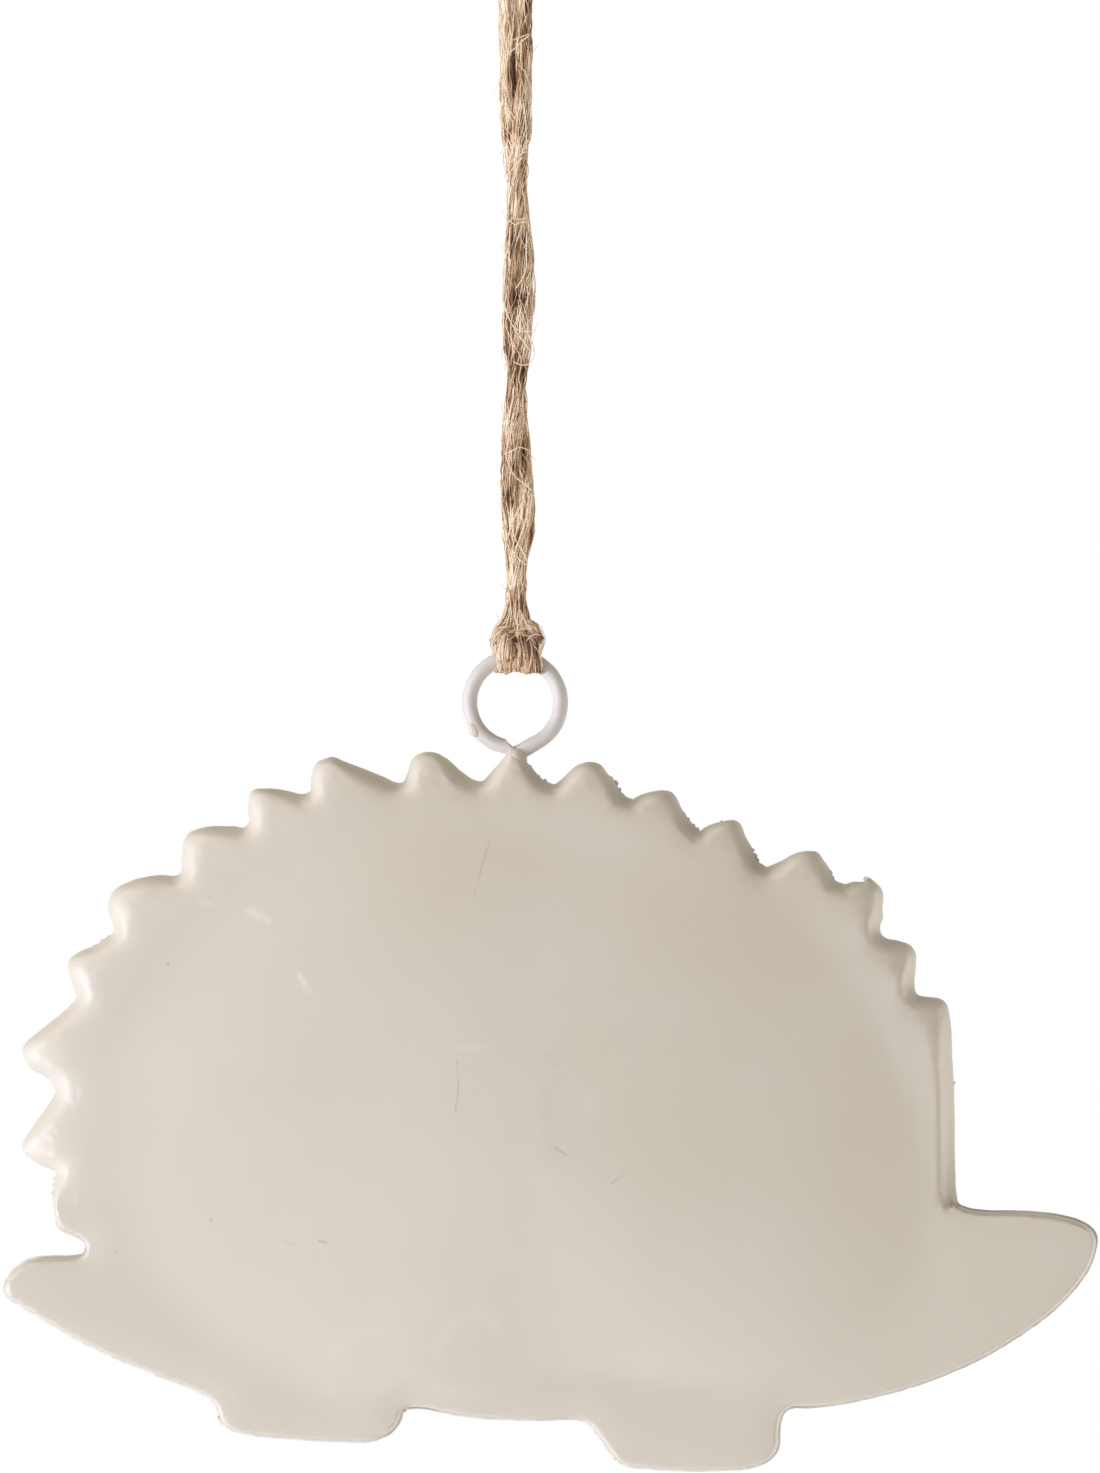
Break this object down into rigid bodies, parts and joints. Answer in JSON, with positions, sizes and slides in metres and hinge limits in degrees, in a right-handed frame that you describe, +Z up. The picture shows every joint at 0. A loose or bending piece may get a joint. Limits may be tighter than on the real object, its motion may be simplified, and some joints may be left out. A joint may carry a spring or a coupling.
{
  "type": "hanging hedgehog ornament",
  "caption": "Flat, puffed hedgehog ornament of pressed, cream lacquered sheet metal, hung by a wire ring from a knotted jute cord.",
  "frame": {"origin": "where a hook bears in the top of the cord's eye, on the seam plane between the two shells", "axes": "+X from the tail to the snout, -Y towards a viewer of the front shell, +Z up the hanging cord"},
  "size_m": [0.1102, 0.0116, 0.1982],
  "materials": {
    "lacquer": "satin",
    "ring_paint": "satin",
    "solder": "satin",
    "jute": "matte"
  },
  "bodies": {
    "cord": {"cord_legs": "jute", "cord_eye": "jute", "eye_knot": "jute"},
    "hitch": {"cord_hitch": "jute"},
    "hedgehog": {"front_shell": "lacquer", "rear_shell": "lacquer", "seam_solder": "solder", "hanging_ring": "ring_paint", "ring_tack": "solder"}
  },
  "joints": [
    {"name": "twirl", "type": "hinge", "parent": "cord", "child": "hitch", "pos_m": [0, 0, -0.094], "axis": [0, 0, 1], "range_deg": [-180, 180]},
    {"name": "rock", "type": "hinge", "parent": "hitch", "child": "hedgehog", "pos_m": [0, 0, -0.1001], "axis": [1, 0, 0], "range_deg": [-90, 90]}
  ]
}
